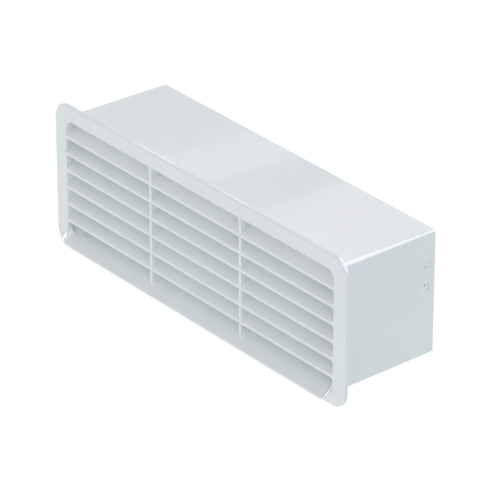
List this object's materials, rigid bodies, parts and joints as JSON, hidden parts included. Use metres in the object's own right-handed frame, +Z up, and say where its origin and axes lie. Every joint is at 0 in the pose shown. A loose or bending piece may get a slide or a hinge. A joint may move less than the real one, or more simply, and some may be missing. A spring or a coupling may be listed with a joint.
{
  "type": "air brick",
  "caption": "Rectangular plastic louvred air brick with face plate, drip sill, through-wall sleeve and swinging back-draught flap.",
  "frame": {"origin": "middle of the sleeve, on the plane where the back of the face plate meets the wall", "axes": "+X to the right seen from outside the wall, +Y into the wall along the sleeve, +Z up"},
  "size_m": [0.228, 0.068, 0.081],
  "materials": {
    "white_upvc": "moulded white UPVC, satin gloss",
    "flap_upvc": "moulded white UPVC, satin gloss"
  },
  "bodies": {
    "brick": {"wall_sleeve": "white_upvc", "face_plate": "white_upvc", "louvre_blade_1": "white_upvc", "louvre_blade_2": "white_upvc", "louvre_blade_3": "white_upvc", "louvre_blade_4": "white_upvc", "louvre_blade_5": "white_upvc", "louvre_blade_6": "white_upvc", "mullion_left": "white_upvc", "mullion_right": "white_upvc", "drip_sill": "white_upvc", "flap_stop_left": "white_upvc", "flap_stop_right": "white_upvc"},
    "flap": {"draught_flap": "flap_upvc", "flap_hub_left": "flap_upvc", "flap_hub_right": "flap_upvc"}
  },
  "joints": [
    {"name": "flap_pivot", "type": "hinge", "parent": "brick", "child": "flap", "pos_m": [0, 0.0572, 0.0159], "axis": [-1, 0, 0], "range_deg": [0, 75]}
  ]
}
